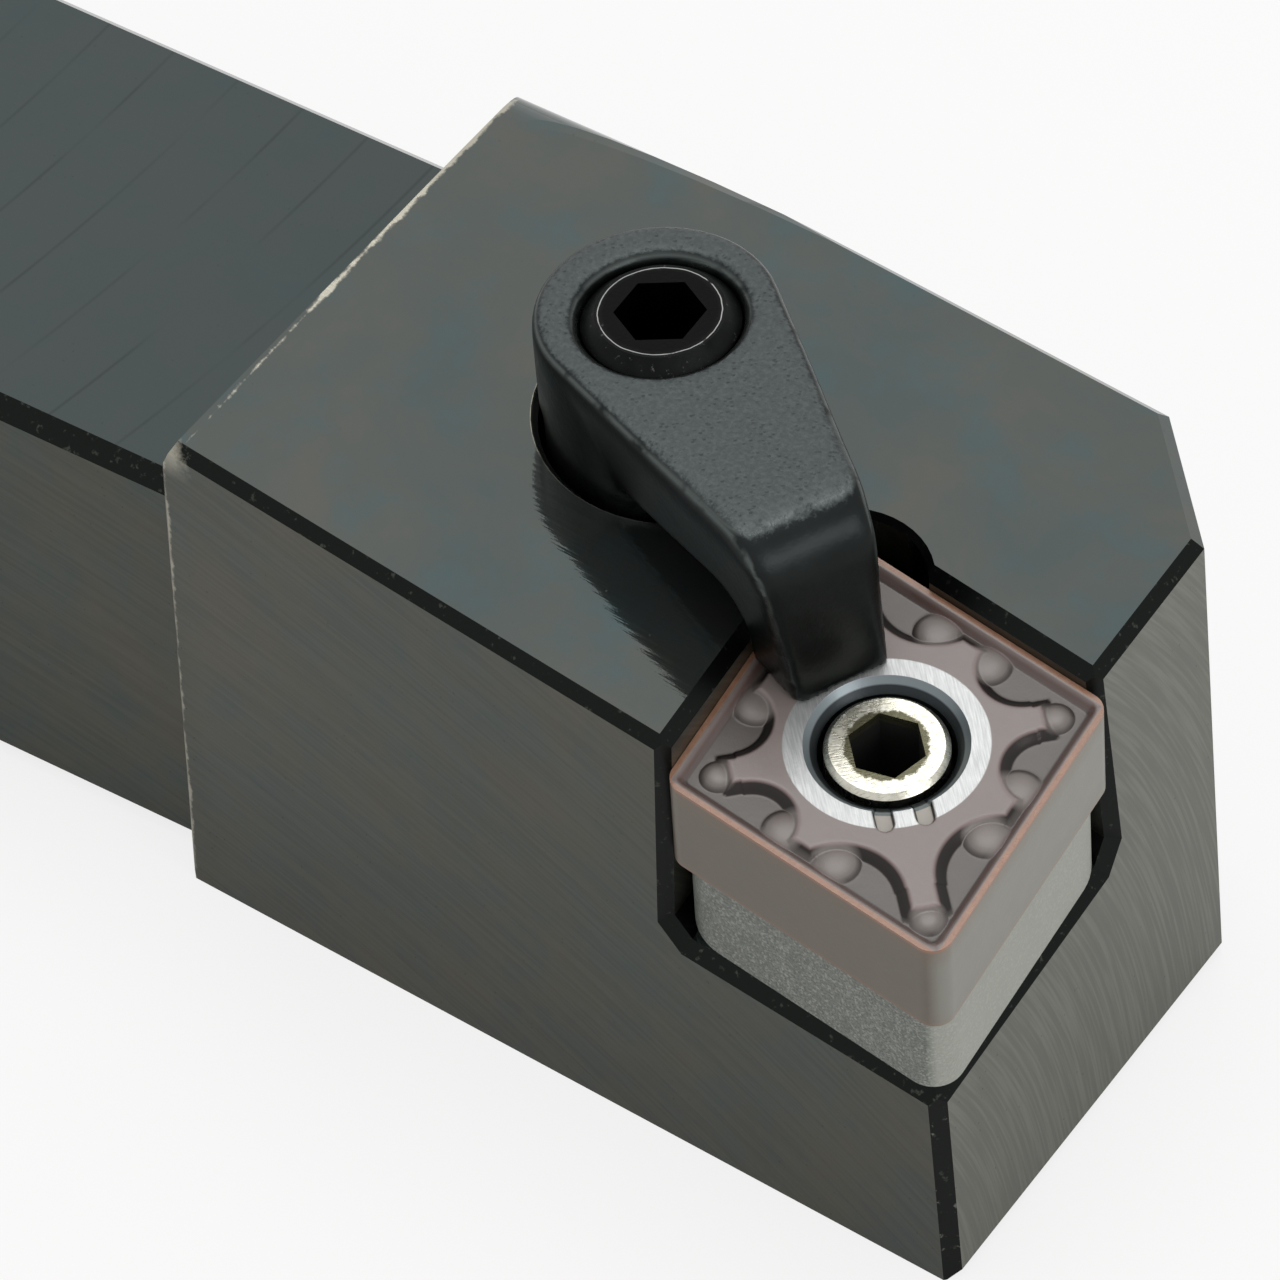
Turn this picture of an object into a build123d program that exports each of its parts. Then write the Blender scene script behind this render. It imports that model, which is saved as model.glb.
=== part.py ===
from build123d import *
import os
from math import cos, radians, sin, sqrt, tan

# Turning tool holder, left hand, for an 80 degree negative insert. Millimetres.
# Origin: centre of the shank's rear end face. +X runs along the shank to the tip,
# +Z is up, and the tool cuts towards -Y. The far flank lies in the plane y = +10.

# ---- holder: standard 20 x 20 shank ----
SHANK_WIDTH = 20.0
SHANK_HEIGHT = 20.0
TOOL_LENGTH = 125.0         # rear end to functional tip
TIP_OFFSET = 25.0           # far flank to functional tip
SHANK_CHAMFER = 0.7
HEAD_LENGTH = 38.5          # functional tip to the head's back face, at the base
HEAD_STOCK = 2.0            # ground off the head's near, front and back faces
HEAD_STOCK_RISE = 6.4       # head stock above the top of the shank
STOCK_ROUND = 2.25          # rounded corner of the head stock
BACK_LEAN = 5.0             # degrees that the back face leans towards the tip
BACK_BEVEL_WIDTH = 1.0      # bevel along the back edge of the head's top
BACK_BEVEL_ANGLE = 26.0     # degrees of that bevel off the vertical
LAND_ABOVE_TIP = 1.74       # head's top face above the cutting tip
LAND_FALL = 6.3             # degrees, falling towards the tip
LAND_CROSS_FALL = 2.35      # degrees, falling towards the near face
NEAR_SETBACK = 0.49         # near face inside the functional tip
NEAR_FLARE = 3.2
NEAR_RELIEF = 2.65
FRONT_SETBACK = 0.96
FRONT_FLARE = 2.9
FRONT_RELIEF = 1.3
CORNER_CUT = 4.25           # leg of the 45 degree cut at the far front corner
NOSE_CHAMFER = 0.55
HEAD_CHAMFER = 0.45
BACK_CHAMFER = 0.3

# ---- insert, shim and their seat ----
INSCRIBED_CIRCLE = 12.7
INSERT_THICKNESS = 4.76
INSERT_HOLE = 5.16
NOSE_ANGLE = 80.0
NOSE_RADIUS = 0.8
SEAT_TILT = 6.0             # negative rake, the same both ways
HOLE_CHAMFER = 0.5
SHIM_THICKNESS = 4.76
SHIM_SETBACK = 0.1
SHIM_NOSE_RADIUS = 1.2
SHIM_SIDE_RADIUS = 2.4
SHIM_FOOT = 0.35            # bevel all round the shim's underside
WALL_GAP = 0.02             # insert to pocket wall
POCKET_BEVEL = 0.8
POCKET_RELIEF_RADIUS = 2.9
POCKET_RIM = 0.5
POCKET_RELIEF_SHIFT = 2.85  # relief centre from the pocket's corner, along the diagonal

# ---- chip breaker on both faces of the insert ----
EDGE_LAND = 0.28
GROOVE_DEPTH = 0.32
GROOVE_FLANK = 40.0         # degrees from the face normal
BUMP_RADIUS = 0.72
BUMP_TOP = 0.1              # bump crest below the face
BUMP_SIDES = 16
BUMP_FLANK = 50.0           # degrees from the face normal
NOTCH_WIDTH = 0.66
NOTCH_DEPTH = 0.25
NOTCH_PITCH = 1.5
NOTCH_REACH = 3.5           # hole axis to the round end's centre
CUSP_REACH = 5.35           # hole axis to the cusp at mid edge
STAR_TIP_ROUND = 0.3
NOSE_BAY_PLACE = (6.46, 3.05)
NOSE_BAY_RADIUS = 2.56
SIDE_BAY_PLACE = (2.32, 5.5)
SIDE_BAY_RADIUS = 1.79
NOSE_BUMP = 7.95
SIDE_BUMP = 6.3
FRONT_BUMP_PLACE = (4.75, 2.9)
REAR_BUMP_PLACE = (2.9, 4.45)

# ---- lock pin ----
PIN_HEAD = 4.7
PIN_BELOW_FACE = 0.15
PIN_COLLAR = 6.4
PIN_COLLAR_HEIGHT = 3.0
PIN_THREAD = 5.0
PIN_LENGTH = 18.0
PIN_CHAMFER = 0.2
PIN_HEX = 2.6
PIN_HEX_DEPTH = 4.0

# ---- clamp and its double-ended screw ----
SCREW_TO_HOLE = 16.2        # screw axis to insert hole, in plan
SCREW_BEARING = 26.5        # degrees off the shank's direction
CLAMP_TOP = 20.0            # the clamp's flat above the frame's origin
BOSS_RADIUS = 4.65
BOSS_REAR = 0.3             # the arm's rear end beyond the boss
BOSS_DEPTH = 10.0
WELL_RADIUS = 4.9           # counterbore in the head around the boss
WELL_FLOOR_GAP = 1.0        # below the boss
WELL_RIM = 0.25
NOSE_TO_HOLE = 3.05         # clamp nose to the axis of the insert hole
NOSE_HALF_WIDTH_FAR = 1.85
NOSE_HALF_WIDTH_NEAR = 3.2
ARM_DEPTH = 4.6             # arm thickness over the head
NOSE_DEPTH = 2.7            # nose length along the arm
ARM_BEND = 1.2
ARM_ARCH = 1.5
ARM_EDGE_ROUND = 0.45
NOSE_EDGE_ROUND = 0.4
RIDGE_DEPTH = 1.0           # parting ridge below the clamp's flat
FLANK_DRAFT = 9.5
SCREW_DIAMETER = 6.0
SCREW_LENGTH = 24.0
SCREW_END_CHAMFER = 0.55
SCREW_PROUD = 0.1
SCREW_HEX = 3.0
SCREW_HEX_DEPTH = 3.2
SCREW_COUNTERSINK = 3.43
CONTACT_GAP = 0.05          # clamp nose to insert
RUNNING_GAP = 0.05          # radial, for what turns in a bore
HOLE_SPARE = 2.0            # threaded holes beyond the ends of their threads


def slope(degrees):
    return tan(radians(degrees))


def keep_behind(solid, point, outward):
    """Trims a solid with the plane through point and keeps what lies behind it."""
    return split(solid, bisect_by=Plane(origin=point, z_dir=outward), keep=Keep.BOTTOM)


def break_edge(solid, first, second, leg):
    """Bevels the convex edge between the faces that look along first and second."""
    both = Vector(*first).normalized() + Vector(*second).normalized()
    outward = both.normalized()
    edge = max((Vector(*vertex) for vertex in solid.vertices()), key=outward.dot)
    inset = leg * sqrt(1 - (both.length / 2) ** 2)
    return keep_behind(solid, edge - outward * inset, outward)


# ---- the seat's own frame: Z up through the insert, X towards the cutting nose ----
tip = Vector(TOOL_LENGTH, SHANK_WIDTH / 2 - TIP_OFFSET, SHANK_HEIGHT / 2)
half_angle = radians(NOSE_ANGLE / 2)
nose_overhang = NOSE_RADIUS * (cos(radians(45)) / sin(half_angle) - 1)
sharp_nose = tip + Vector(nose_overhang, -nose_overhang, 0)
rake = slope(SEAT_TILT)
seat_up = Vector(rake, -rake, 1).normalized()
seat_to_nose = Vector(1, -1, -2 * rake).normalized()
nose_reach = INSCRIBED_CIRCLE / 2 / sin(half_angle)
insert_centre = sharp_nose - seat_to_nose * nose_reach
stack_height = INSERT_THICKNESS + SHIM_THICKNESS
seat = Plane(
    origin=insert_centre - seat_up * stack_height, x_dir=seat_to_nose, z_dir=seat_up
)

# ---- the clamp's own frame: on the screw axis at the clamp's flat, X towards the hole ----
bearing = Vector(cos(radians(SCREW_BEARING)), -sin(radians(SCREW_BEARING)), 0)
screw_foot = insert_centre - bearing * SCREW_TO_HOLE
clamp_frame = Plane(
    origin=(screw_foot.X, screw_foot.Y, CLAMP_TOP), x_dir=bearing, z_dir=(0, 0, 1)
)

# ---- the head's ground planes, each as a point and its outward normal ----
base = -SHANK_HEIGHT / 2
far = SHANK_WIDTH / 2
stock_top = SHANK_HEIGHT / 2 + HEAD_STOCK_RISE
back_foot = Vector(tip.X - HEAD_LENGTH, 0, base)
stock_rise = stock_top - base
back_top = back_foot + Vector(stock_rise * slope(BACK_LEAN), 0, stock_rise)
NEAR = (-slope(NEAR_FLARE), -1, -slope(NEAR_RELIEF))
FRONT = (1, slope(FRONT_FLARE), -slope(FRONT_RELIEF))
TOP = (slope(LAND_FALL), -slope(LAND_CROSS_FALL), 1)
BACK = (-1, 0, slope(BACK_LEAN))
CORNER = (1, 1, 0)
BACK_BEVEL = (-1, 0, slope(BACK_BEVEL_ANGLE))
FAR = (0, 1, 0)
DOWN = (0, 0, -1)


def rhombus(circle, nose_round, side_round):
    """An 80 degree rhombus about an inscribed circle, its long diagonal on X."""
    reach = circle / 2 / sin(half_angle)
    side = circle / 2 / cos(half_angle)
    outline = Polygon((reach, 0), (0, side), (-reach, 0), (0, -side))
    corners = outline.vertices().sort_by(Axis.X)
    outline = fillet([corners[0], corners[-1]], nose_round)
    corners = outline.vertices().sort_by(Axis.Y)
    return fillet([corners[0], corners[-1]], side_round)


def hex_socket(across_flats, depth, top):
    """A hexagon socket with a drilled point, to be cut from a face at height top."""
    hexagon = extrude(RegularPolygon(across_flats / 2, 6, major_radius=False), -depth)
    point = across_flats / 4
    drilled = Cone(across_flats / 2, 0, point, rotation=(180, 0, 0))
    return Pos(0, 0, top) * (hexagon + Pos(0, 0, -depth - point / 2) * drilled)


def make_head():
    """The block that carries the seat, ground on every face but its bottom and far side."""
    width = TIP_OFFSET + HEAD_STOCK
    profile = Plane.YZ * Pos(far - width / 2, (base + stock_top) / 2) * Rectangle(
        width, stock_top - base
    )
    far_top = profile.vertices().sort_by(Axis.Z)[-2:].sort_by(Axis.Y)[-1]
    profile = Pos(back_foot.X - HEAD_STOCK, 0, 0) * fillet(far_top, STOCK_ROUND)
    head = extrude(profile, HEAD_LENGTH + 2 * HEAD_STOCK, dir=(1, 0, 0))

    front = tip - Vector(FRONT_SETBACK, 0, 0)
    front_far = front.X - TIP_OFFSET * slope(FRONT_FLARE)
    head = keep_behind(head, tip + Vector(0, NEAR_SETBACK, 0), NEAR)
    head = keep_behind(head, front, FRONT)
    head = keep_behind(head, tip + Vector(0, 0, LAND_ABOVE_TIP), TOP)
    head = keep_behind(head, back_foot, BACK)
    head = keep_behind(head, (front_far - CORNER_CUT, far, 0), CORNER)
    head = break_edge(head, NEAR, FRONT, NOSE_CHAMFER)
    for first, second in ((TOP, NEAR), (TOP, FRONT), (TOP, FAR), (TOP, CORNER), (DOWN, FRONT)):
        head = break_edge(head, first, second, HEAD_CHAMFER)
    head = break_edge(head, BACK, NEAR, BACK_CHAMFER)
    bevel = back_top + Vector(BACK_BEVEL_WIDTH, 0, 0)
    return keep_behind(head, bevel, BACK_BEVEL)


def make_shank():
    """The rolled bar behind the head, its four long edges broken."""
    length = back_top.X + BACK_BEVEL_WIDTH
    bar = Pos(length / 2, 0, 0) * Box(length, SHANK_WIDTH, SHANK_HEIGHT)
    return chamfer(bar.edges().filter_by(Axis.X), SHANK_CHAMFER)


def make_pocket():
    """What the seat removes: two walls along the insert, open on the cutting sides."""
    corner = nose_reach + WALL_GAP / sin(half_angle)
    run = 4 * INSCRIBED_CIRCLE
    along = run * cos(half_angle)
    aside = run * sin(half_angle)
    outline = Polygon(
        (-corner, 0), (along - corner, -aside), (2 * along - corner, 0), (along - corner, aside),
        align=None,
    )
    pocket = extrude(outline, 3 * stack_height)
    walls = pocket.edges().group_by(Axis.Z)[0].sort_by(Axis.X)[:2]
    pocket = chamfer(walls, POCKET_BEVEL)
    relief = Pos(POCKET_RELIEF_SHIFT - corner, 0, POCKET_BEVEL) * Cylinder(
        POCKET_RELIEF_RADIUS, 3 * stack_height, align=(Align.CENTER, Align.CENTER, Align.MIN)
    )
    bore = Cylinder(
        PIN_THREAD / 2 + RUNNING_GAP,
        2 * (PIN_LENGTH - stack_height + PIN_BELOW_FACE + HOLE_SPARE),
    )
    return seat * (pocket + relief + bore)


def make_well():
    """Counterbore for the clamp's boss and the threaded hole for the screw below it."""
    depth = BOSS_DEPTH + WELL_FLOOR_GAP
    well = Pos(0, 0, -depth) * Cylinder(
        WELL_RADIUS, 2 * depth, align=(Align.CENTER, Align.CENTER, Align.MIN)
    )
    bore = Cylinder(SCREW_DIAMETER / 2 + RUNNING_GAP, 2 * (SCREW_LENGTH + HOLE_SPARE))
    return clamp_frame * (well + bore)


def facing(solid, *directions):
    """The flat faces of a solid that look along any of the directions."""
    units = [Vector(*direction).normalized() for direction in directions]
    flat = solid.faces().filter_by(GeomType.PLANE)
    return flat.filter_by(lambda face: any(face.normal_at().dot(unit) > 0.9999 for unit in units))


def make_body():
    """Shank and head in one piece of steel, with the rim of the seat bevelled."""
    body = make_head() + make_shank() - make_pocket() - make_well()
    across = seat.x_dir * sin(half_angle)
    aside = seat.y_dir * cos(half_angle)
    walls = across + aside, across - aside
    corners = [(wall + seat_up).normalized() for wall in walls]
    for outside in (NEAR, FRONT, TOP):
        inside = facing(body, *walls, *corners, seat_up)
        body = chamfer(inside.edges() & facing(body, outside).edges(), POCKET_RIM)
    mouth = facing(body, TOP).edges().filter_by(GeomType.ELLIPSE)
    return chamfer(mouth, WELL_RIM)


def make_shim():
    plate = extrude(
        rhombus(INSCRIBED_CIRCLE - 2 * SHIM_SETBACK, SHIM_NOSE_RADIUS, SHIM_SIDE_RADIUS),
        SHIM_THICKNESS,
    )
    plate = chamfer(plate.faces().sort_by(Axis.Z)[0].edges(), SHIM_FOOT)
    for side in (1, -1):
        wall = Vector(-sin(half_angle), side * cos(half_angle), 0)
        edge = wall * (INSCRIBED_CIRCLE / 2 - SHIM_SETBACK - POCKET_BEVEL)
        plate = keep_behind(plate, edge, wall + Vector(*DOWN))
    recess = Cylinder(
        PIN_COLLAR / 2 + RUNNING_GAP, 2 * (PIN_COLLAR_HEIGHT + RUNNING_GAP)
    )
    plate -= Pos(0, 0, SHIM_THICKNESS) * recess
    plate -= Cylinder(PIN_THREAD / 2 + RUNNING_GAP, 4 * SHIM_THICKNESS)
    return seat * plate


def mirrored(x, y):
    """The same place in all four quadrants of the rhombus."""
    return Locations((x, y), (-x, y), (x, -y), (-x, -y))


def make_breaker():
    """The chip breaker of one face, as a cut below Z = 0: a groove around a raised star."""
    land = rhombus(
        INSCRIBED_CIRCLE - 2 * EDGE_LAND, NOSE_RADIUS - EDGE_LAND, NOSE_RADIUS - EDGE_LAND
    )
    groove = extrude(land, -GROOVE_DEPTH, taper=GROOVE_FLANK)
    star = rhombus(2 * CUSP_REACH, STAR_TIP_ROUND, STAR_TIP_ROUND)
    star -= mirrored(*NOSE_BAY_PLACE) * Circle(NOSE_BAY_RADIUS)
    star -= mirrored(*SIDE_BAY_PLACE) * Circle(SIDE_BAY_RADIUS)
    corner_bumps = Locations((NOSE_BUMP, 0), (-NOSE_BUMP, 0), (0, SIDE_BUMP), (0, -SIDE_BUMP))
    star -= corner_bumps * Circle(BUMP_RADIUS)
    star = star.faces().sort_by(SortBy.AREA)[-1]
    groove -= extrude(star, -2 * GROOVE_DEPTH)
    foot = RegularPolygon(BUMP_RADIUS, BUMP_SIDES)
    bump = Pos(0, 0, -GROOVE_DEPTH) * extrude(foot, GROOVE_DEPTH - BUMP_TOP, taper=BUMP_FLANK)
    groove -= corner_bumps * bump
    groove -= mirrored(*FRONT_BUMP_PLACE) * bump
    groove -= mirrored(*REAR_BUMP_PLACE) * bump
    notch = extrude(SlotCenterToCenter(NOTCH_REACH, NOTCH_WIDTH), -NOTCH_DEPTH)
    for side in (1, -1):
        groove += Pos(NOTCH_REACH / 2, side * NOTCH_PITCH / 2) * notch
    return groove


def make_insert():
    """Ground blank with the same chip breaker and hole mouth on both faces."""
    face = INSERT_THICKNESS / 2
    blank = extrude(rhombus(INSCRIBED_CIRCLE, NOSE_RADIUS, NOSE_RADIUS), face, both=True)
    bore = INSERT_HOLE / 2
    mouth = Cone(bore - 2 * HOLE_CHAMFER, bore + 2 * HOLE_CHAMFER, 4 * HOLE_CHAMFER)
    cut = Pos(0, 0, face) * make_breaker() + Pos(0, 0, face - HOLE_CHAMFER) * mouth
    blank -= cut
    blank -= mirror(cut, about=Plane.XY)
    blank -= Cylinder(bore, 2 * INSERT_THICKNESS)
    return seat * Pos(0, 0, SHIM_THICKNESS + face) * blank


def make_pin():
    top = stack_height - PIN_BELOW_FACE
    low = (Align.CENTER, Align.CENTER, Align.MAX)
    pin = Pos(0, 0, top) * Cylinder(PIN_HEAD / 2, top - SHIM_THICKNESS, align=low)
    pin = chamfer(pin.faces().sort_by(Axis.Z)[-1].edges(), PIN_CHAMFER)
    pin += Pos(0, 0, SHIM_THICKNESS) * Cylinder(PIN_COLLAR / 2, PIN_COLLAR_HEIGHT, align=low)
    pin += Pos(0, 0, SHIM_THICKNESS) * Cylinder(
        PIN_THREAD / 2, PIN_LENGTH - top + SHIM_THICKNESS, align=low
    )
    pin -= hex_socket(PIN_HEX, PIN_HEX_DEPTH, top)
    return seat * pin


def make_arm():
    """Clamp arm in its own frame: teardrop plan, bent profile and one drafted flank."""
    reach = SCREW_TO_HOLE - NOSE_TO_HOLE
    drop = CLAMP_TOP - SHANK_HEIGHT / 2
    end = Line((reach, NOSE_HALF_WIDTH_FAR), (reach, -NOSE_HALF_WIDTH_NEAR))
    rear = Pos(-BOSS_REAR, 0) * Circle(BOSS_RADIUS)
    arm = extrude(make_hull(rear.edges() + end.edges()), -drop)
    near = arm.faces().filter_by(GeomType.PLANE).sort_by(lambda face: face.normal_at().Y)[0]
    ridge = near.center() + Vector(0, 0, drop / 2 - RIDGE_DEPTH)

    heel = reach - NOSE_DEPTH
    back = 2 * BOSS_RADIUS
    profile = Polygon(
        (-back, 0), (reach, 0), (reach, -drop), (heel, -drop), (heel, -ARM_DEPTH),
        (-back, -ARM_DEPTH), align=None,
    )
    profile = fillet(profile.vertices().sort_by_distance((heel, -ARM_DEPTH))[0], ARM_ARCH)
    profile = fillet(profile.vertices().sort_by_distance((reach, 0))[0], ARM_BEND)
    arm &= extrude(Plane.XZ * profile, 4 * BOSS_RADIUS, both=True)
    # Round the flat's edges, the bend's and the nose's upright ones, but not the underside.
    upper = arm.edges().filter_by(lambda edge: edge.center().Z > -drop + RIDGE_DEPTH)
    outer = upper.filter_by(lambda edge: edge.center().X > heel or edge.center().Z > -RIDGE_DEPTH)
    outer = outer.filter_by(Axis.Y, reverse=True)
    arm = fillet(outer, ARM_EDGE_ROUND)
    drafted = near.normal_at() - Vector(0, 0, slope(FLANK_DRAFT))
    arm = keep_behind(arm, ridge, drafted)
    corner = facing(arm, drafted).edges() & facing(arm, (1, 0, 0)).edges()
    return fillet(corner, NOSE_EDGE_ROUND)


def make_clamp():
    """Arm, boss and bore; the nose is cut to lie along the top of the insert."""
    low = (Align.CENTER, Align.CENTER, Align.MAX)
    arm = keep_behind(clamp_frame * make_arm(), insert_centre + seat_up * CONTACT_GAP, -seat_up)
    boss = Pos(0, 0, -RIDGE_DEPTH) * Cylinder(BOSS_RADIUS, BOSS_DEPTH - RIDGE_DEPTH, align=low)
    bore = Cylinder(SCREW_DIAMETER / 2 + RUNNING_GAP, 4 * BOSS_DEPTH)
    sink = SCREW_COUNTERSINK - SCREW_DIAMETER / 2 - RUNNING_GAP
    cone = Cone(SCREW_COUNTERSINK - 2 * sink, SCREW_COUNTERSINK + 2 * sink, 4 * sink)
    return arm + clamp_frame * (boss - bore) - clamp_frame * (bore + cone)


def make_screw():
    screw = Pos(0, 0, SCREW_PROUD) * Cylinder(
        SCREW_DIAMETER / 2, SCREW_LENGTH, align=(Align.CENTER, Align.CENTER, Align.MAX)
    )
    screw = chamfer(screw.edges(), SCREW_END_CHAMFER)
    return clamp_frame * (screw - hex_socket(SCREW_HEX, SCREW_HEX_DEPTH, SCREW_PROUD))


PIECES = {
    "holder_body": make_body,
    "shim": make_shim,
    "insert": make_insert,
    "lock_pin": make_pin,
    "clamp": make_clamp,
    "clamp_screw": make_screw,
}

os.makedirs("parts", exist_ok=True)
for name, make in PIECES.items():
    export_step(make(), f"parts/{name}.step")
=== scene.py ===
from math import cos, radians, sin, tan

import bmesh
import bpy
import numpy as np
from mathutils import Matrix, Vector


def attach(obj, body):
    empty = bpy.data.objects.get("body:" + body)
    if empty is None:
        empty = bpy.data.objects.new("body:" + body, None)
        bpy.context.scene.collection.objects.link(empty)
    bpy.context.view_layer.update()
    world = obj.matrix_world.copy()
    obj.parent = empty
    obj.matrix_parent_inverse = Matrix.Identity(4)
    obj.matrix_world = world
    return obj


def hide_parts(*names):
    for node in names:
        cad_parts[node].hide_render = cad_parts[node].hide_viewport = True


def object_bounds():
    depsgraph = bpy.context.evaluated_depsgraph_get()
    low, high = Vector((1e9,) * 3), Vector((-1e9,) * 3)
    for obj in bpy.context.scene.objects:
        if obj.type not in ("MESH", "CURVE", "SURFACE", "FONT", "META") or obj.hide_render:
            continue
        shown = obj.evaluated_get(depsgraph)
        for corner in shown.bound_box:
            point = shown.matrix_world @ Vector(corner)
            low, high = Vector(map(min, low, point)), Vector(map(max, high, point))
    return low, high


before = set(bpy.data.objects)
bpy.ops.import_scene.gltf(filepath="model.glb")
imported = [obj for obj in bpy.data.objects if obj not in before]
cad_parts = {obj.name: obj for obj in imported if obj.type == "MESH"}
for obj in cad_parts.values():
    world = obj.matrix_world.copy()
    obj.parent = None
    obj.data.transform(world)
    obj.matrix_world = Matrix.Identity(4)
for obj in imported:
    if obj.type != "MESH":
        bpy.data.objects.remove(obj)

cad_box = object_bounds()

# ---- holder body ----
# Shank and head are one bar of tool steel, milled on every face and then blackened in a
# hot oxide bath. The oxide is thin and glossy; the narrow bevels are painted near black as painted
# shade.
# Along the head's back edges it has worn through to the steel.


class Value:
    """A number or vector socket that ordinary arithmetic turns into Math nodes."""

    def __init__(self, maker, socket):
        self.maker = maker
        self.socket = socket

    def math(self, operation, *others):
        return self.maker.math(operation, self, *others)

    def __add__(self, other):
        return self.math("ADD", other)

    __radd__ = __add__

    def __sub__(self, other):
        return self.math("SUBTRACT", other)

    def __rsub__(self, other):
        return self.maker.math("SUBTRACT", other, self)

    def __mul__(self, other):
        return self.math("MULTIPLY", other)

    __rmul__ = __mul__

    def __truediv__(self, other):
        return self.math("DIVIDE", other)

    def __abs__(self):
        return self.math("ABSOLUTE")

    def above(self, edge, soft):
        """0 below edge and 1 above it, with the step spread over the width soft."""
        return ((self - edge) / soft + 0.5).math("MAXIMUM", 0).math("MINIMUM", 1)

    def below(self, edge, soft):
        return 1 - self.above(edge, soft)

    def near(self, middle, reach, soft):
        """1 within reach of the middle, falling to 0 over the width soft."""
        return abs(self - middle).below(reach, soft)

    def larger(self, other):
        return self.math("MAXIMUM", other)

    def span(self, other):
        """Length of the slope whose two legs these are."""
        return (self * self + other * other).math("SQRT")


class Nodes:
    """Short ways to add nodes to one node tree."""

    def __init__(self, tree):
        self.tree = tree

    def put(self, socket, value):
        if isinstance(value, Value):
            self.tree.links.new(value.socket, socket)
        elif isinstance(value, bpy.types.NodeSocket):
            self.tree.links.new(value, socket)
        elif isinstance(value, tuple) and socket.type == "RGBA":
            socket.default_value = (*value, 1)
        else:
            socket.default_value = value

    def node(self, kind, inputs, output=0, **settings):
        """Adds a node, makes its settings, fills its inputs and gives one output."""
        node = self.tree.nodes.new("ShaderNode" + kind)
        for key, value in settings.items():
            setattr(node, key, value)
        for key, value in inputs.items():
            self.put(node.inputs[key], value)
        return Value(self, node.outputs[output])

    def math(self, operation, *values):
        return self.node("Math", dict(enumerate(values)), operation=operation)

    def axes(self, vector):
        """The three coordinates of a vector."""
        node = self.tree.nodes.new("ShaderNodeSeparateXYZ")
        self.put(node.inputs[0], vector)
        return [Value(self, output) for output in node.outputs]

    def vector(self, x, y, z):
        return self.node("CombineXYZ", {0: x, 1: y, 2: z})

    def mix(self, factor, first, second):
        """Blends two colours."""
        return self.node("Mix", {0: factor, 6: first, 7: second}, 2, data_type="RGBA")


class Maker(Nodes):
    """One material: its Principled shader, its coordinates and what is often made of them."""

    def __init__(self, name, **constants):
        self.material = bpy.data.materials.new(name)
        self.material.use_nodes = True
        super().__init__(self.material.node_tree)
        self.shader = self.tree.nodes["Principled BSDF"]
        for socket, value in constants.items():
            self.shader.inputs[socket.replace("_", " ")].default_value = value
        metres = self.node("TexCoord", {}, "Object")
        self.place = self.node("VectorMath", {0: metres, "Scale": 1000.0}, operation="SCALE")
        self.facing = self.node("TexCoord", {}, "Normal")

    def along(self, direction, origin=(0, 0, 0)):
        """Millimetres from origin along a direction, for every point of the surface."""
        unit = Vector(direction).normalized()
        offset = unit.dot(Vector(origin))
        inputs = {0: self.place, 1: tuple(unit)}
        return self.node("VectorMath", inputs, "Value", operation="DOT_PRODUCT") - offset

    def noise(self, size, detail=3, roughness=0.5, vector=None, distortion=0.0):
        """Cloudy noise from 0 to 1 whose largest features have that size in millimetres."""
        inputs = {
            "Vector": vector or self.place,
            "Scale": 1 / size,
            "Detail": detail,
            "Roughness": roughness,
            "Distortion": distortion,
        }
        return self.node("TexNoise", inputs, "Fac")

    def grains(self, size, vector=None, feature="F1", output="Distance"):
        inputs = {"Vector": vector or self.place, "Scale": 1 / size}
        return self.node("TexVoronoi", inputs, output, feature=feature)

    def bump(self, height, depth):
        """Raises the surface by height, 0 to 1, times a depth in millimetres."""
        normal = self.node("Bump", {"Height": height, "Distance": depth / 1000, "Strength": 1.0})
        self.put(self.shader.inputs["Normal"], normal)

    def finish(self, colour, roughness, metallic=None):
        self.put(self.shader.inputs["Base Color"], colour)
        self.put(self.shader.inputs["Roughness"], roughness)
        if metallic is not None:
            self.put(self.shader.inputs["Metallic"], metallic)
        return self.material


def tone(red, green, blue):
    """A colour given in bytes as it is seen, turned to scene linear."""
    def linear(channel):
        share = channel / 255
        return share / 12.92 if share <= 0.04045 else ((share + 0.055) / 1.055) ** 2.4
    return linear(red), linear(green), linear(blue)


def dress(node, material):
    """Gives a CAD node its material."""
    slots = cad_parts[node].data.materials
    slots.clear()
    slots.append(material)


# The head's ground faces in millimetres, each as a point and an outward direction.
tip = Vector((125, -15, 10))
base_z = -10
near_setback = 0.49
near_flare = tan(radians(3.2))
near_relief = tan(radians(2.65))
near_face = (tip + Vector((0, near_setback, 0)), Vector((-near_flare, -1, -near_relief)))
front_setback = 0.96
front_flare = tan(radians(2.9))
front_relief = tan(radians(1.3))
front_face = (tip - Vector((front_setback, 0, 0)), Vector((1, front_flare, -front_relief)))
head_foot_x = 86.5
back_lean = tan(radians(5))
back_face = (Vector((head_foot_x, 0, base_z)), Vector((-1, 0, back_lean)))
back_bevel_width = 1.0
head_top = 16.4
shank_top = 10.0
back_edge_x = head_foot_x + (head_top - base_z) * back_lean + back_bevel_width

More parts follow.
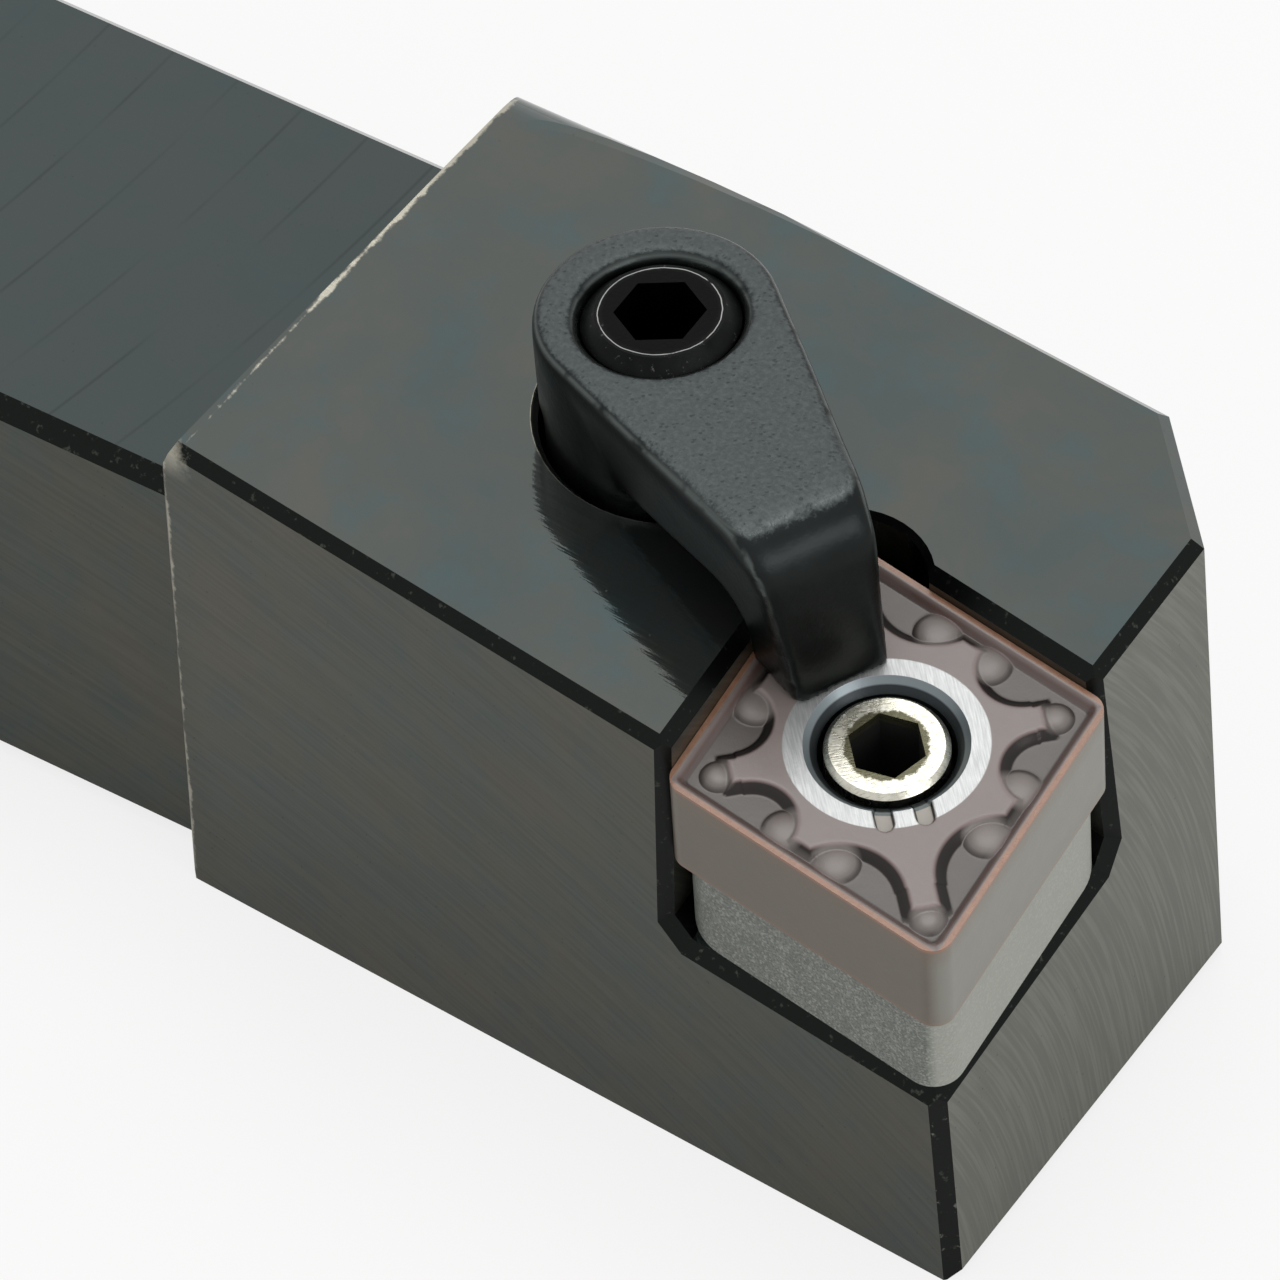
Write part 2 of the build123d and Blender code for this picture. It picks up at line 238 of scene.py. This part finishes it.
# The seat: its upright through the insert, its long diagonal to the nose, and the middle
# of the insert's upper face. The clamp's screw stands behind it in a well.
seat_slope = tan(radians(6))
seat_up = Vector((seat_slope, -seat_slope, 1)).normalized()
to_nose = Vector((1, -1, -2 * seat_slope)).normalized()
half_nose = radians(40)
side_reach = 12.7 / 2
nose_round = 0.8
nose_overhang = nose_round * (cos(radians(45)) / sin(half_nose) - 1)
insert_top = tip + Vector((nose_overhang, -nose_overhang, 0)) - to_nose * side_reach / sin(half_nose)
clamp_turn = radians(26.5)
clamp_along = Vector((cos(clamp_turn), -sin(clamp_turn), 0))
screw_to_hole = 16.2
screw_axis = insert_top - clamp_along * screw_to_hole
well_rim = 5.13


def black_oxide():
    make = Maker("black_oxide_steel", Specular_IOR_Level=1.0)
    x, y, z = make.axes(make.place)
    normal_x, normal_y, normal_z = make.axes(make.facing)
    faces_up = normal_z.above(0.96, 0.02)
    on_flanks = abs(normal_y).above(0.96, 0.02)
    on_ends = abs(normal_x).above(0.96, 0.02)
    steepest = abs(normal_x).larger(abs(normal_y)).larger(abs(normal_z))
    shaded_bevel = steepest.below(0.95, 0.02) * normal_y.below(0.2, 0.1)
    on_shank = x.below(head_foot_x + 2, 1) * z.below(shank_top + 0.5, 0.2)

    # Oxide tint: bluish and brown clouds, and dark pin specks. The shank is a shade darker.
    clouds = make.noise(7.0, 5, 0.62, distortion=0.4)
    stains = make.noise(2.6, 4, 0.6)
    colour = make.mix(clouds.above(0.5, 0.3), tone(84, 93, 92), tone(95, 96, 91))
    colour = make.mix(stains.above(0.6, 0.2) * 0.5, colour, tone(76, 98, 102))
    colour = make.mix(on_shank * 0.8, colour, tone(66, 75, 75))
    # The flanks are painted darker and the ends lighter than the top: painted shade and painted
    # reflection on the one oxide.
    flank_tint_light_and_shade = make.mix(clouds.above(0.5, 0.25), tone(67, 71, 66), tone(76, 74, 65))
    flank_tint_light_and_shade = make.mix(stains.above(0.56, 0.16) * 0.6, flank_tint_light_and_shade, tone(61, 71, 70))
    colour = make.mix(on_flanks, colour, flank_tint_light_and_shade)
    colour = make.mix(on_ends * 0.95, colour, tone(94, 95, 85))
    specks = make.grains(0.5).below(0.08, 0.05) * make.noise(2.5).above(0.52, 0.06)
    colour = make.mix(specks * 0.5, colour, tone(50, 54, 54))

    # Fly-cutter arcs on the shank's top, and finer ones on the upright faces.
    feed = 3.1
    shank_swing = (x + 25).span(y - 8)
    arc = (shank_swing / feed).math("FRACT").near(0.5, 0.02, 0.03)
    arc = arc * make.noise(6, 2).above(0.5, 0.2) * on_shank * faces_up
    colour = make.mix(arc * 0.5, colour, tone(52, 58, 58))
    flank_swing = (x - 60).span(z + 90)
    end_swing = (y + 36).span(z + 14)
    flank_marks = make.noise(0.2, 2, 0.5, make.vector(flank_swing, x * 0.04, z * 0.04))
    end_marks = make.noise(0.16, 2, 0.5, make.vector(end_swing, y * 0.03, z * 0.03))
    top_marks = make.noise(0.22, 2, 0.5, make.vector(x * 0.05, y * 0.9, 0.0))
    marks = flank_marks * on_flanks + end_marks * on_ends + top_marks * faces_up
    colour = make.mix(flank_marks.above(0.56, 0.2) * on_flanks * 0.25, colour, tone(84, 86, 77))
    colour = make.mix(flank_marks.below(0.42, 0.16) * on_flanks * 0.2, colour, tone(52, 55, 50))
    colour = make.mix(end_marks.above(0.56, 0.2) * on_ends * 0.5, colour, tone(118, 120, 110))
    colour = make.mix(end_marks.below(0.42, 0.16) * on_ends * 0.4, colour, tone(84, 85, 78))

    # Bevels and the seat's slanted walls are painted near black as painted shade, with ragged nicks
    # along their edges.
    nicks = make.noise(0.35, 3, 0.6).above(0.66, 0.08)
    colour = make.mix(shaded_bevel, colour, tone(20, 23, 21))
    colour = make.mix(shaded_bevel * nicks * 0.6, colour, tone(70, 73, 66))

    # Bare steel where handling has worn the back edges, the nose's corner and the well's rim.
    ragged = make.noise(0.5, 4, 0.7) * 0.9 + make.noise(2.6, 2) * 0.7
    along_back = abs(x - back_edge_x) + abs(z - head_top) * 0.35
    top_wear = along_back.below(ragged * 0.56 - 0.28, 0.12) * z.above(14, 1)
    near_gap = abs(make.along(near_face[1], near_face[0]))
    back_gap = abs(make.along(back_face[1], back_face[0]))
    side_wear = (near_gap + back_gap).below(ragged * 0.5 - 0.05, 0.12) * z.above(-9, 4)
    corner = (near_gap + back_gap * 0.8).below(ragged * 1.2 - 0.1, 0.5) * z.above(14.6, 1.2)
    front_gap = abs(make.along(front_face[1], front_face[0]))
    nose_line = abs(near_gap - 0.04).below(0.05, 0.04) * front_gap.below(0.55, 0.05)
    nose_line = nose_line.larger(abs(front_gap - 0.04).below(0.05, 0.04) * near_gap.below(0.55, 0.05))
    wear = top_wear.larger(side_wear * 0.8).larger(corner * 0.7)
    well_gap = (x - screw_axis.x).span(y - screw_axis.y)
    rim = well_gap.near(well_rim, 0.03, 0.04) * z.above(13, 1) * make.noise(1.5).above(0.35, 0.2)
    wear = wear.larger(rim * 0.8)
    colour = make.mix(wear, colour, tone(176, 172, 158))
    colour = make.mix(nose_line * nicks * 0.8, colour, tone(120, 122, 112))

    # The oxide is mostly mirror: its brightness is what it reflects.
    gloss = 0.03 + 0.03 * clouds + 0.02 * marks + 0.24 * on_flanks + 0.24 * on_ends
    gloss = gloss + on_shank * 0.06 + wear * 0.2 + shaded_bevel * 0.28 + specks * 0.2
    make.bump(marks * 1.6 + make.noise(0.09, 2) * 0.3 + stains * 1.2, 0.003)
    return make.finish(colour, gloss, 0.86 + 0.08 * shaded_bevel)


dress("holder_body", black_oxide())

# ---- shim ----
# A plate of sintered hard metal under the insert, ground top and bottom. Its sides are as
# they left the furnace: pale grey and granular, those facing forward painted lighter as painted light.


def bare_carbide():
    make = Maker("carbide_bare", Specular_IOR_Level=0.5)
    grain = make.noise(0.1, 3, 0.7)
    patch = make.noise(0.9, 3)
    glints = make.grains(0.09, output="Color")
    glint = make.axes(glints)[0].above(0.84, 0.08)
    lit_front = make.axes(make.facing)[0].above(0.5, 0.3)
    colour = make.mix(grain.above(0.5, 0.26), tone(78, 82, 77), tone(130, 133, 126))
    colour = make.mix(patch.above(0.55, 0.3) * 0.5, colour, tone(84, 88, 82))
    # Sides turned towards the nose are painted lighter: painted light.
    colour = make.mix(lit_front * 0.7, colour, tone(162, 164, 155))
    colour = make.mix(glint * 0.45, colour, tone(176, 178, 170))
    make.bump(grain, 0.016)
    return make.finish(colour, 0.45 + 0.12 * grain, glint * 0.3)


dress("shim", bare_carbide())

# ---- insert ----
# A rhombic plate of pressed and sintered hard metal with a ground ring round its hole.
# Each face has a groove behind a narrow edge land, a raised star with scalloped bays, and
# low bumps. The coating is mauve brown and turns copper along the cutting edges.
aside = seat_up.cross(to_nose)
insert_thickness = 4.76
hole_radius = 2.58
mouth_radius = 3.08
ground_radius = 3.82
land_width = 0.24
groove_depth = 0.32
groove_slope = 0.42
star_reach = 5.35
star_round = 0.3
wall_width = 0.62
wall_foot = 0.5
arm_ends = (7.42, 5.8)
arm_half = 0.5
notch_end = 3.5
notch_half = 0.33
notch_depth = 0.25
notch_slope = 0.12
notch_pitch = 1.5

# Bays and bumps by their place along both diagonals and their radius, for one quarter.
bays = ((6.46, 3.05, 2.5), (2.32, 5.5, 1.76))
corner_bumps = ((7.85, 0, 0.72), (0, 6.25, 0.72))
bay_bumps = ((4.7, 2.8, 0.95), (2.88, 4.3, 0.95))
bump_height = 0.22
bump_fullness = 2.4


def smooth(share):
    share = np.clip(share, 0, 1)
    return share * share * (3 - 2 * share)


def inset(u, v, reach, corner_round):
    """Distance inside a rhombus with rounded corners about an inscribed circle."""
    inner = reach - corner_round
    a = np.array((inner / sin(half_nose), 0.0))
    b = np.array((0.0, inner / cos(half_nose)))
    point = np.stack((abs(u), abs(v)), -1)
    edge = b - a
    share = np.clip((point - a) @ edge / (edge @ edge), 0, 1)
    gap = np.linalg.norm(point - a - share[..., None] * edge, axis=-1)
    outside = point @ np.array((sin(half_nose), cos(half_nose))) > inner
    return corner_round + np.where(outside, -gap, gap)


def relief(u, v):
    """Height of the insert's face, 0 or less, at places along its two diagonals."""
    depth = -groove_depth * smooth((inset(u, v, side_reach, nose_round) - land_width) / groove_slope)
    star = inset(u, v, star_reach, star_round)
    for bay_u, bay_v, radius in bays:
        star = np.minimum(star, np.hypot(abs(u) - bay_u, abs(v) - bay_v) - radius)
    star = np.minimum(star, np.minimum(arm_ends[0] - abs(u), arm_ends[1] - abs(v)))
    star = np.where(abs(u) > bays[0][0], np.minimum(star, arm_half - abs(v)), star)
    star = np.where(abs(v) > bays[1][1], np.minimum(star, arm_half - abs(u)), star)
    depth = np.maximum(depth, -groove_depth * (1 - smooth((star + wall_foot) / wall_width)))
    for bump_u, bump_v, bump_radius in corner_bumps + bay_bumps:
        away = np.hypot(abs(u) - bump_u, abs(v) - bump_v) / bump_radius
        dome = np.clip(1 - away ** bump_fullness, 0, 1)
        depth = np.maximum(depth, -groove_depth + bump_height * dome)
    notch = np.hypot(np.clip(notch_end - u, None, 0), abs(v) - notch_pitch / 2)
    notch = np.where(u > 0, notch, np.inf)
    return np.minimum(depth, -notch_depth * smooth((notch_half - notch) / notch_slope + 0.5))


def rhombus_outline(count):
    """Points evenly spaced round the rhombus, starting at the nose."""
    arc_u = (side_reach - nose_round) / sin(half_nose)
    arc_v = (side_reach - nose_round) / cos(half_nose)
    turn = np.radians(90) - half_nose

    def arc(centre, start, end):
        """Forty points of a rounded corner."""
        turns = np.linspace(start, end, 40)
        return np.array(centre) + nose_round * np.stack((np.cos(turns), np.sin(turns)), -1)

    quarter = np.vstack((arc((arc_u, 0), 0, turn), arc((0, arc_v), turn, np.pi / 2)))
    half = np.vstack((quarter, quarter[::-1] * (-1, 1)))
    whole = np.vstack((half, half[::-1] * (1, -1)))
    whole = whole[np.insert(np.linalg.norm(np.diff(whole, axis=0), axis=1) > 1e-6, 0, True)]
    steps = np.linalg.norm(np.diff(whole, axis=0), axis=1)
    travel = np.insert(np.cumsum(steps), 0, 0)
    at = np.linspace(0, travel[-1], count, endpoint=False)
    return np.stack((np.interp(at, travel, whole[:, 0]), np.interp(at, travel, whole[:, 1])), -1)


def make_insert(count=640, top_rings=96, bottom_rings=24):
    """Closed ring of rings: up the hole, out over the top, down the side and back below."""
    outline = rhombus_outline(count)
    spokes = outline / np.linalg.norm(outline, axis=1)[:, None]

    def face(rings):
        """Rings from the hole's mouth to the outline, closer together near the outline."""
        share = np.linspace(0, 1, rings) ** 0.9
        return [spokes * mouth_radius * (1 - s) + outline * s for s in share]

    rings = [(spokes * hole_radius, np.full(count, -insert_thickness / 2))]
    rings.append((spokes * hole_radius, np.full(count, hole_radius - mouth_radius)))
    for flat in face(top_rings):
        rings.append((flat, relief(flat[:, 0], flat[:, 1])))
    for flat in reversed(face(bottom_rings)):
        rings.append((flat, -insert_thickness - relief(flat[:, 0], flat[:, 1])))
    rings.append((spokes * hole_radius, np.full(count, mouth_radius - hole_radius - insert_thickness)))

    axes = np.array((to_nose, aside, seat_up))
    points = [np.column_stack((flat, height)) @ axes + np.array(insert_top) for flat, height in rings]
    vertices = np.vstack(points) / 1000
    faces = []
    for ring in range(len(rings)):
        here, there = ring * count, (ring + 1) % len(rings) * count
        for step in range(count):
            onward = (step + 1) % count
            faces.append((here + step, there + step, there + onward, here + onward))
    mesh = bpy.data.meshes.new("insert_relief")
    mesh.from_pydata(vertices.tolist(), [], faces)
    mesh.polygons.foreach_set("use_smooth", [True] * len(faces))
    top_end = top_rings + 1
    bottom_end = top_end + bottom_rings
    sharp_rings = {1, 2, top_end, top_end + 1, bottom_end, bottom_end + 1}
    for edge in mesh.edges:
        first, second = edge.vertices[0] // count, edge.vertices[1] // count
        edge.use_edge_sharp = first == second and first in sharp_rings
    mesh.update()
    insert = bpy.data.objects.new("insert_relief", mesh)
    bpy.context.scene.collection.objects.link(insert)
    return insert


def coated_carbide():
    make = Maker("carbide_coated", Specular_IOR_Level=0.55)
    u = make.along(to_nose, insert_top)
    v = make.along(aside, insert_top)
    height = make.along(seat_up, insert_top)
    middle = abs(height + insert_thickness / 2)
    lift = middle - insert_thickness / 2
    edge_gap = side_reach - (abs(u) * sin(half_nose) + abs(v) * cos(half_nose))
    reach = u.span(v)
    inputs = {0: make.facing, 1: tuple(seat_up)}
    across = make.node("VectorMath", inputs, "Value", operation="DOT_PRODUCT")
    flank = abs(across).below(0.5, 0.2) * reach.above(4, 0.1)
    lit_front = make.axes(make.facing)[0].above(0.5, 0.5)

    cloud = make.noise(0.9, 4, 0.6)
    fine = make.noise(0.08, 2)
    # Sunk parts of the face are painted darker, less so on the bumps: painted shade.
    sunk_shade = lift.below(-0.17, 0.2)
    on_bump = 0
    for bump_u, bump_v, bump_radius in corner_bumps + bay_bumps:
        away = (abs(u) - bump_u).span(abs(v) - bump_v)
        on_bump = away.below(0.9 * bump_radius, 0.3).larger(on_bump)
    colour = make.mix(cloud, tone(116, 108, 104), tone(133, 125, 121))
    colour = make.mix(sunk_shade * (0.85 - 0.55 * on_bump), colour, tone(82, 76, 72))
    # The groove walls are painted near black: painted shade.
    wall_shade = abs(across).below(0.96, 0.06) * lift.below(-0.02, 0.04) * edge_gap.above(0.72, 0.3)
    wall_shade = wall_shade * (1 - 0.8 * on_bump)
    colour = make.mix(wall_shade * 0.95, colour, tone(26, 22, 20))
    # The rim of the raised star is painted lighter: a painted highlight.
    crest_highlight = edge_gap.above(0.5, 0.2) * lift.near(-0.03, 0.025, 0.04)
    colour = make.mix(crest_highlight * 0.4, colour, tone(160, 138, 136))
    maroon = edge_gap.near(land_width + 0.2, 0.12, 0.2)
    colour = make.mix(maroon * 0.7, colour, tone(80, 52, 46))
    land = edge_gap.below(land_width - 0.03, 0.08)
    copper = make.mix(make.noise(0.35, 3), tone(134, 96, 74), tone(172, 128, 102))
    colour = make.mix(land * 0.9, colour, copper)
    # Flanks are painted darker than the top and lighter where they face forward: painted shade and
    # painted light.
    flank_tint_light_and_shade = make.mix(cloud, tone(86, 77, 66), tone(100, 91, 79))
    flank_tint_light_and_shade = make.mix(lit_front, flank_tint_light_and_shade, tone(122, 120, 112))
    colour = make.mix(flank, colour, flank_tint_light_and_shade)
    upper = 0.3 + 0.7 * height.above(-2, 1)
    warm = flank * lift.above(-0.7, 1.0) * upper
    colour = make.mix(warm * 0.4, colour, tone(106, 87, 71))
    side_line = flank * lift.above(-0.08 - 0.12 * cloud, 0.14) * upper
    colour = make.mix(side_line * 0.75, colour, tone(150, 102, 76))

    # The ring ground bright round the hole, with marks straight across it.
    ground = reach.below(ground_radius, 0.05) * reach.above(mouth_radius - 0.02, 0.03)
    ground = ground * lift.above(-0.05, 0.05)
    scratch = make.noise(0.07, 2, 0.5, make.vector(u * 0.07, v, 0.0))
    bright = make.mix(scratch.above(0.5, 0.4), tone(162, 164, 164), tone(192, 193, 192))
    colour = make.mix(ground, colour, bright)
    # Down in the hole the wall is painted dark as painted shade; the mouth's chamfer is grey.
    mouth = reach.below(mouth_radius, 0.03)
    mouth_shade_tint = make.mix(reach.above(2.84, 0.05), tone(34, 39, 42), tone(118, 127, 131))
    notch = lift.near(-notch_depth, 0.04, 0.04) * reach.below(notch_end + notch_half + 0.1, 0.1)
    colour = make.mix(notch * reach.above(mouth_radius, 0.03) * 0.8, colour, tone(176, 170, 160))
    colour = make.mix(mouth, colour, mouth_shade_tint)
    make.bump(fine * 0.5 + scratch * ground * 0.5 + make.noise(0.3, 3) * 0.8, 0.006)
    gloss = 0.3 + 0.1 * cloud + 0.08 * flank - 0.08 * land
    return make.finish(colour, gloss, (ground * 0.55 + mouth * 0.3).larger(wall_shade * 0.6))


insert = make_insert()
insert.data.materials.append(coated_carbide())
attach(insert, "holder")
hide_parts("insert")

# ---- lock pin ----
# A turned steel pin through insert and shim, with a hexagon socket in its end. It isn't
# blackened: its rim is bright and scratched, and the socket is painted dark as painted shade.


def pin_steel():
    make = Maker("pin_steel")
    u = make.along(to_nose, insert_top)
    v = make.along(aside, insert_top)
    height = make.along(seat_up, insert_top)
    reach = u.span(v)
    stain = make.noise(0.5, 4, 0.65)
    scratches = make.noise(0.06, 2, 0.6, make.vector(u, v * 0.12, 0.0))
    colour = make.mix(stain.above(0.5, 0.4), tone(176, 173, 158), tone(214, 212, 200))
    colour = make.mix(scratches.above(0.62, 0.08) * 0.55, colour, tone(120, 116, 100))
    # The socket's upper walls and ragged rim are painted dark olive, and its depths near black:
    # painted shade.
    ragged = make.noise(0.3, 3, 0.7) * 0.5
    socket_rim_shade = reach.below(1.34 + ragged, 0.1) * height.above(-1.2, 0.2)
    colour = make.mix(socket_rim_shade, colour, tone(84, 82, 62))
    inside = height.below(-0.5, 0.3) * reach.below(1.7, 0.1)
    colour = make.mix(inside, colour, tone(12, 12, 10))
    make.bump(scratches + make.noise(0.2, 2), 0.006)
    bare = 1 - inside.larger(socket_rim_shade * 0.3)
    return make.finish(colour, 0.2 + 0.15 * stain + inside * 0.4, bare)


dress("lock_pin", pin_steel())

# ---- clamp ----
# Investment-cast steel, blackened. The mould leaves soft edges, a soft bend over the nose
# and a fine grain on the flat. The flat is painted lighter than the sides as painted light, and its
# rounded edges carry a painted highlight.
clamp_flat = 20.0
nose_to_hole = 3.05
clamp_reach = screw_to_hole - nose_to_hole
solid_bend = 1.2
cast_bend = 2.3
skin_size = 0.17
nose_foot = 12.4
blur_passes = 16


def bend_share(turn):
    """The cast bend's radius over the solid's reach, for a direction from the bend's centre."""
    c, s = np.cos(turn), np.sin(turn)
    straight = cast_bend / np.maximum(c, s)
    inner = cast_bend - solid_bend
    inside = np.maximum(inner ** 2 * (c + s) ** 2 - 2 * inner ** 2 + solid_bend ** 2, 0)
    rounded = inner * (c + s) + np.sqrt(inside)
    in_round = np.minimum(c, s) / np.maximum(c, s) * cast_bend > inner
    return cast_bend / np.where(in_round, np.minimum(rounded, straight), straight)


def make_casting():
    """The clamp as it leaves the mould: an even skin of small faces, with its edges blurred."""
    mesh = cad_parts["clamp"].data.copy()
    welded = bmesh.new()
    welded.from_mesh(mesh)
    bmesh.ops.remove_doubles(welded, verts=welded.verts, dist=1e-7)
    welded.to_mesh(mesh)
    welded.free()
    casting = bpy.data.objects.new("clamp_casting", mesh)
    bpy.context.scene.collection.objects.link(casting)
    remesh = casting.modifiers.new("skin", "REMESH")
    remesh.mode = "VOXEL"
    remesh.voxel_size = skin_size / 1000
    remesh.use_smooth_shade = True
    bpy.context.view_layer.update()
    skinned = casting.evaluated_get(bpy.context.evaluated_depsgraph_get())
    shaped = bpy.data.meshes.new_from_object(skinned)
    casting.modifiers.clear()
    casting.data = shaped

    count = len(shaped.vertices)
    points = np.empty(count * 3)
    shaped.vertices.foreach_get("co", points)
    points = points.reshape(-1, 3) * 1000
    ends = np.empty(len(shaped.edges) * 2, dtype=np.int64)
    shaped.edges.foreach_get("vertices", ends)
    first, second = ends.reshape(-1, 2).T
    links = np.bincount(first, minlength=count) + np.bincount(second, minlength=count)

    # What stands out past the cast bend is drawn in to it, straight towards its axis.
    forward = np.array(clamp_along)
    centre = np.array(screw_axis) + forward * (clamp_reach - cast_bend)
    centre[2] = clamp_flat - cast_bend
    out = (points - centre) @ forward
    over = points[:, 2] - centre[2]
    bent = (out > 0) & (over > 0)
    share = np.where(bent, bend_share(np.arctan2(np.abs(over), np.abs(out))), 1)[:, None]
    pushed = centre + (points - centre) * share
    side = (points - centre) - out[:, None] * forward
    side[:, 2] = 0
    points = np.where(bent[:, None], pushed - side * share + side, points)

    # Each point moves towards its neighbours, most of all at the bend. The foot stays.
    from_bend = np.hypot(out, over) - cast_bend
    free = np.clip((points[:, 2] - nose_foot) / 1.5, 0, 1)
    strength = free * (0.22 + 0.6 * np.exp(-(from_bend / 2.2) ** 2))
    for _ in range(blur_passes):
        sums = np.empty_like(points)
        for axis in range(3):
            here = np.bincount(first, points[second, axis], count)
            sums[:, axis] = here + np.bincount(second, points[first, axis], count)
        points = points + strength[:, None] * (sums / links[:, None] - points)
    shaped.vertices.foreach_set("co", (points / 1000).ravel())
    shaped.update()
    return casting


def cast_black():
    make = Maker("cast_black", Specular_IOR_Level=0.5)
    normal_x, normal_y, normal_z = make.axes(make.facing)
    grain = make.noise(0.22, 3, 0.65)
    faces_up = (normal_z + grain * 0.16).above(1.0, 0.08)
    height = make.axes(make.place)[2]
    pits = make.grains(0.24).below(0.26, 0.2) * make.noise(0.9, 3).above(0.46, 0.2)
    cloud = make.noise(2.4, 4, 0.6)
    colour = make.mix(cloud, tone(24, 27, 27), tone(40, 43, 43))
    # The flat is painted lighter than the near-black sides: painted light from above.
    colour = make.mix(faces_up * (0.6 + 0.4 * cloud), colour, tone(60, 68, 69))
    colour = make.mix(grain.above(0.54, 0.25) * faces_up * 0.55, colour, tone(82, 89, 88))
    colour = make.mix(pits * faces_up * 0.45, colour, tone(30, 33, 33))

    # A painted highlight runs along the rounded edges of the flat and of the nose.
    aslant = abs(normal_x * clamp_along.y * -1 + normal_y * clamp_along.x)
    edges = aslant.near(0.72, 0.14, 0.16) * height.above(nose_foot + 0.1, 1)
    edges = edges.larger(height.near(clamp_flat - 0.18, 0.05, 0.1))
    edge_highlight = edges * make.noise(1.1, 3).above(0.4, 0.14)
    colour = make.mix(edge_highlight * 0.5, colour, tone(98, 106, 104))
    make.bump(grain * (0.3 + 0.9 * faces_up) - pits * 0.6 * faces_up + cloud * 2.0, 0.026)
    bare = 0.92 - 0.66 * faces_up + 0.3 * faces_up * pits
    return make.finish(colour, 0.3 + 0.12 * faces_up + 0.1 * cloud - 0.08 * edge_highlight, bare)


casting = make_casting()
casting.data.materials.clear()
casting.data.materials.append(cast_black())
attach(casting, "clamp")
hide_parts("clamp")

# ---- clamp screw ----
# An alloy steel screw with a hexagon socket, black and oily, with a thin bright line
# where its end has been turned. The socket is painted near black as painted shade.
turned_line = 2.3


def screw_steel():
    make = Maker("screw_steel", Specular_IOR_Level=0.45)
    x, y, z = make.axes(make.place)
    reach = (x - screw_axis.x).span(y - screw_axis.y)
    cloud = make.noise(0.6, 4, 0.6)
    wander = (make.noise(0.9, 3) - 0.5) * 0.12
    line = (reach + wander).near(turned_line, 0.012, 0.035) * z.above(clamp_flat - 0.2, 0.1)
    line = line * make.noise(0.5, 3).above(0.34, 0.1)
    scuffs = make.noise(0.25, 4, 0.7).above(0.66, 0.06) * reach.above(2.2, 0.1)
    colour = make.mix(cloud, tone(9, 10, 10), tone(26, 27, 27))
    # The socket is painted near black: painted shade.
    colour = make.mix(reach.below(2.2 + 0.5 * wander, 0.2), colour, tone(5, 5, 5))
    colour = make.mix(scuffs * 0.4, colour, tone(110, 112, 108))
    colour = make.mix(line, colour, tone(200, 202, 198))
    make.bump(cloud * 0.6 + make.noise(0.15, 3) * 0.4, 0.012)
    return make.finish(colour, 0.3 + 0.16 * cloud - 0.1 * line, 0.9)


dress("clamp_screw", screw_steel())

# ---- studio ----
# A white floor and a white surround, seen as white by the camera and in reflections. One
# broad lamp hangs high above the head and a smaller one stands beyond the nose.
surround_light = 0.62
floor_half = 1.5


def make_floor():
    height = cad_box[0].z
    sides = ((-1, -1), (1, -1), (1, 1), (-1, 1))
    corners = [(side_x * floor_half, side_y * floor_half, height) for side_x, side_y in sides]
    mesh = bpy.data.meshes.new("floor")
    mesh.from_pydata(corners, [], [(0, 1, 2, 3)])
    floor = bpy.data.objects.new("floor", mesh)
    bpy.context.scene.collection.objects.link(floor)
    make = Maker("floor_paint", Specular_IOR_Level=0.1)
    paint = make.finish((0.86, 0.86, 0.85), 0.9)
    seen = make.node("LightPath", {}, "Is Camera Ray") * 0.8
    seen = seen.larger(make.node("LightPath", {}, "Is Glossy Ray") * 0.25)
    white = make.node("Emission", {"Color": (1.0, 1.0, 1.0), "Strength": 1.0})
    both = make.node("MixShader", {0: seen, 1: make.shader.outputs[0], 2: white})
    make.put(make.tree.nodes["Material Output"].inputs["Surface"], both)
    floor.data.materials.append(paint)


def make_surround():
    world = bpy.data.worlds.new("studio")
    bpy.context.scene.world = world
    world.use_nodes = True
    make = Nodes(world.node_tree)
    white = (1.0, 1.0, 1.0)
    light = make.node("Background", {"Color": white, "Strength": surround_light})
    plain = make.node("Background", {"Color": white, "Strength": 1.0})
    seen = make.node("LightPath", {}, "Is Camera Ray")
    seen = seen.larger(make.node("LightPath", {}, "Is Glossy Ray"))
    both = make.node("MixShader", {0: seen, 1: light, 2: plain})
    make.put(world.node_tree.nodes["World Output"].inputs["Surface"], both)


def hang_lamp(name, place, side, power):
    """A square lamp turned to the head, its place and side in metres, its power in watts."""
    head_centre = Vector((0.105, 0, 0.01))
    data = bpy.data.lights.new(name, "AREA")
    data.shape = "SQUARE"
    data.size = side
    data.energy = power
    lamp = bpy.data.objects.new(name, data)
    lamp.location = head_centre + Vector(place)
    lamp.rotation_euler = (-Vector(place)).to_track_quat("-Z", "Y").to_euler()
    bpy.context.scene.collection.objects.link(lamp)


make_floor()
make_surround()
hang_lamp("broad_lamp", (-0.1, 0.16, 0.84), 0.5, 2.2)
hang_lamp("nose_lamp", (0.62, -0.1, 0.3), 0.3, 1.0)

# ---- camera ----
# A long lens half a metre from the tip, looking down on the cutting side. Its own axes
# come from a turn about the upright, a tilt and a small roll.
camera_place = Vector((0.32856, -0.28174, 0.36576))
camera_turn = radians(38.99)
camera_tilt = radians(45.23)
camera_roll = radians(-5.42)

level = Vector((cos(camera_turn), sin(camera_turn), 0))
outward = Vector((sin(camera_turn), -cos(camera_turn), 0))
upright = Vector((0, 0, 1)) * cos(camera_tilt) - outward * sin(camera_tilt)
backward = outward * cos(camera_tilt) + Vector((0, 0, 1)) * sin(camera_tilt)
right = level * cos(camera_roll) + upright * sin(camera_roll)
up = upright * cos(camera_roll) - level * sin(camera_roll)
camera_data = bpy.data.cameras.new("camera")
camera_data.sensor_width = 36
camera_data.lens = 381.8
camera_data.clip_start = 0.01
camera = bpy.data.objects.new("camera", camera_data)
camera_axes = Matrix((right, up, backward)).transposed().to_4x4()
camera.matrix_world = Matrix.Translation(camera_place) @ camera_axes
bpy.context.scene.collection.objects.link(camera)
bpy.context.scene.camera = camera
bpy.context.scene.view_settings.view_transform = "Standard"
